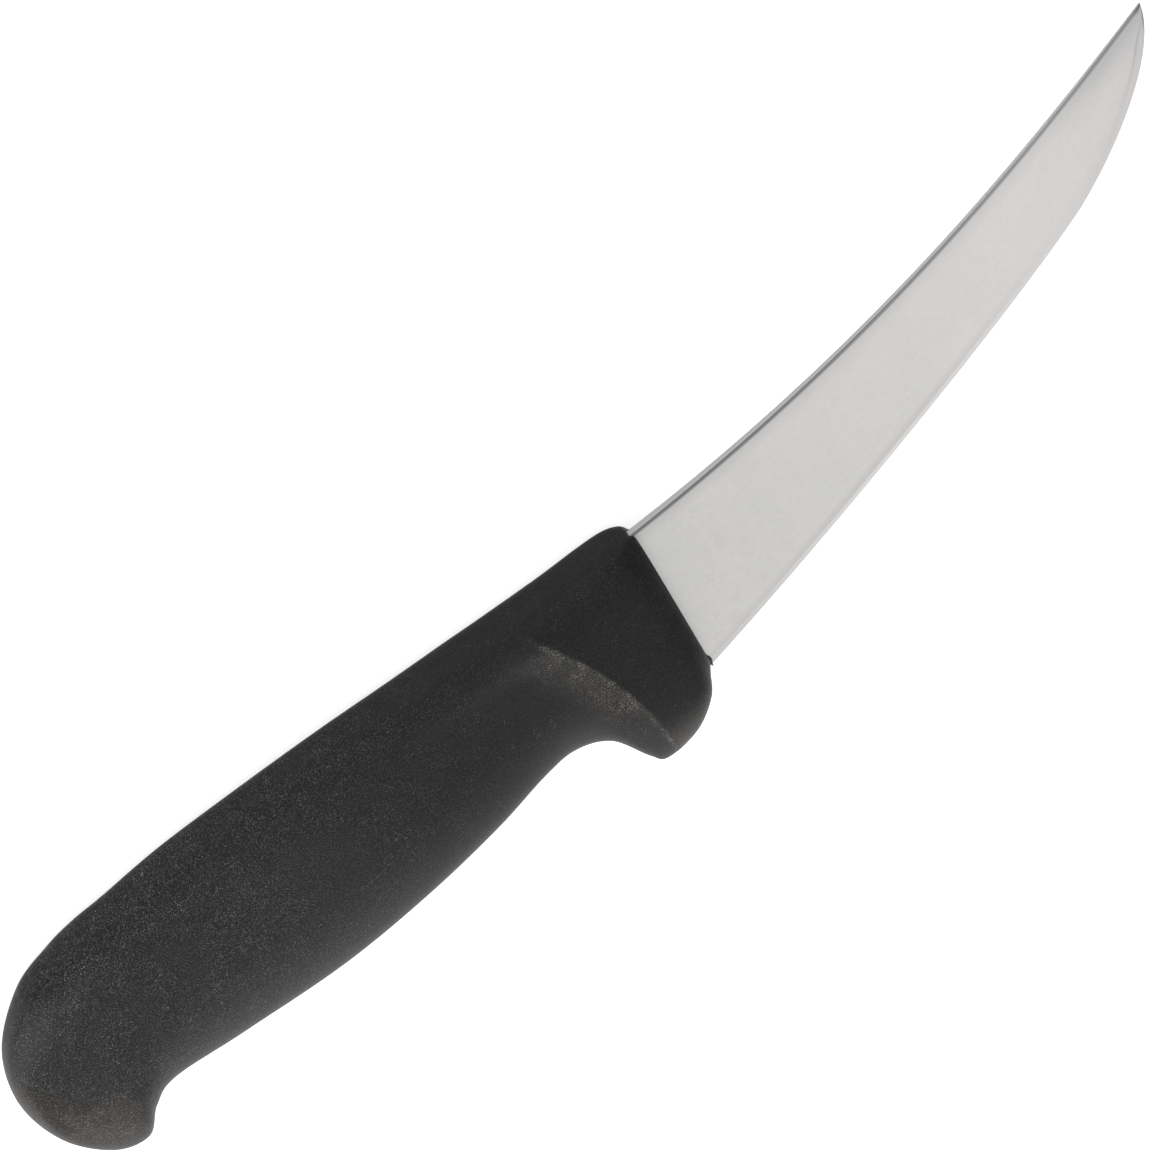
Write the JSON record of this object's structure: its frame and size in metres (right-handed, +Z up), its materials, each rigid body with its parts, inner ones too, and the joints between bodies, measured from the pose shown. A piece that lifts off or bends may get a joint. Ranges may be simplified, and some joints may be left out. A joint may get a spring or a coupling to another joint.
{
  "type": "boning knife",
  "caption": "Boning knife with a narrow, upswept curved blade and a moulded grip with a finger guard, thumb ridge and hooked butt.",
  "frame": {"origin": "middle of the bounding box in plan, on the surface that the knife lies on", "axes": "+X along the handle's back towards the blade's tip, +Y from the cutting edge to the spine, +Z up, square to the blade"},
  "size_m": [0.2496, 0.065, 0.0213],
  "materials": {
    "steel": "fine satin brushed lengthwise, with a brighter sharpened strip along the edge",
    "grip": "fine spark-eroded grain, matt charcoal, slightly dusty on the ridge and the butt"
  },
  "bodies": {
    "root": {"blade": "steel", "handle": "grip"}
  },
  "joints": []
}
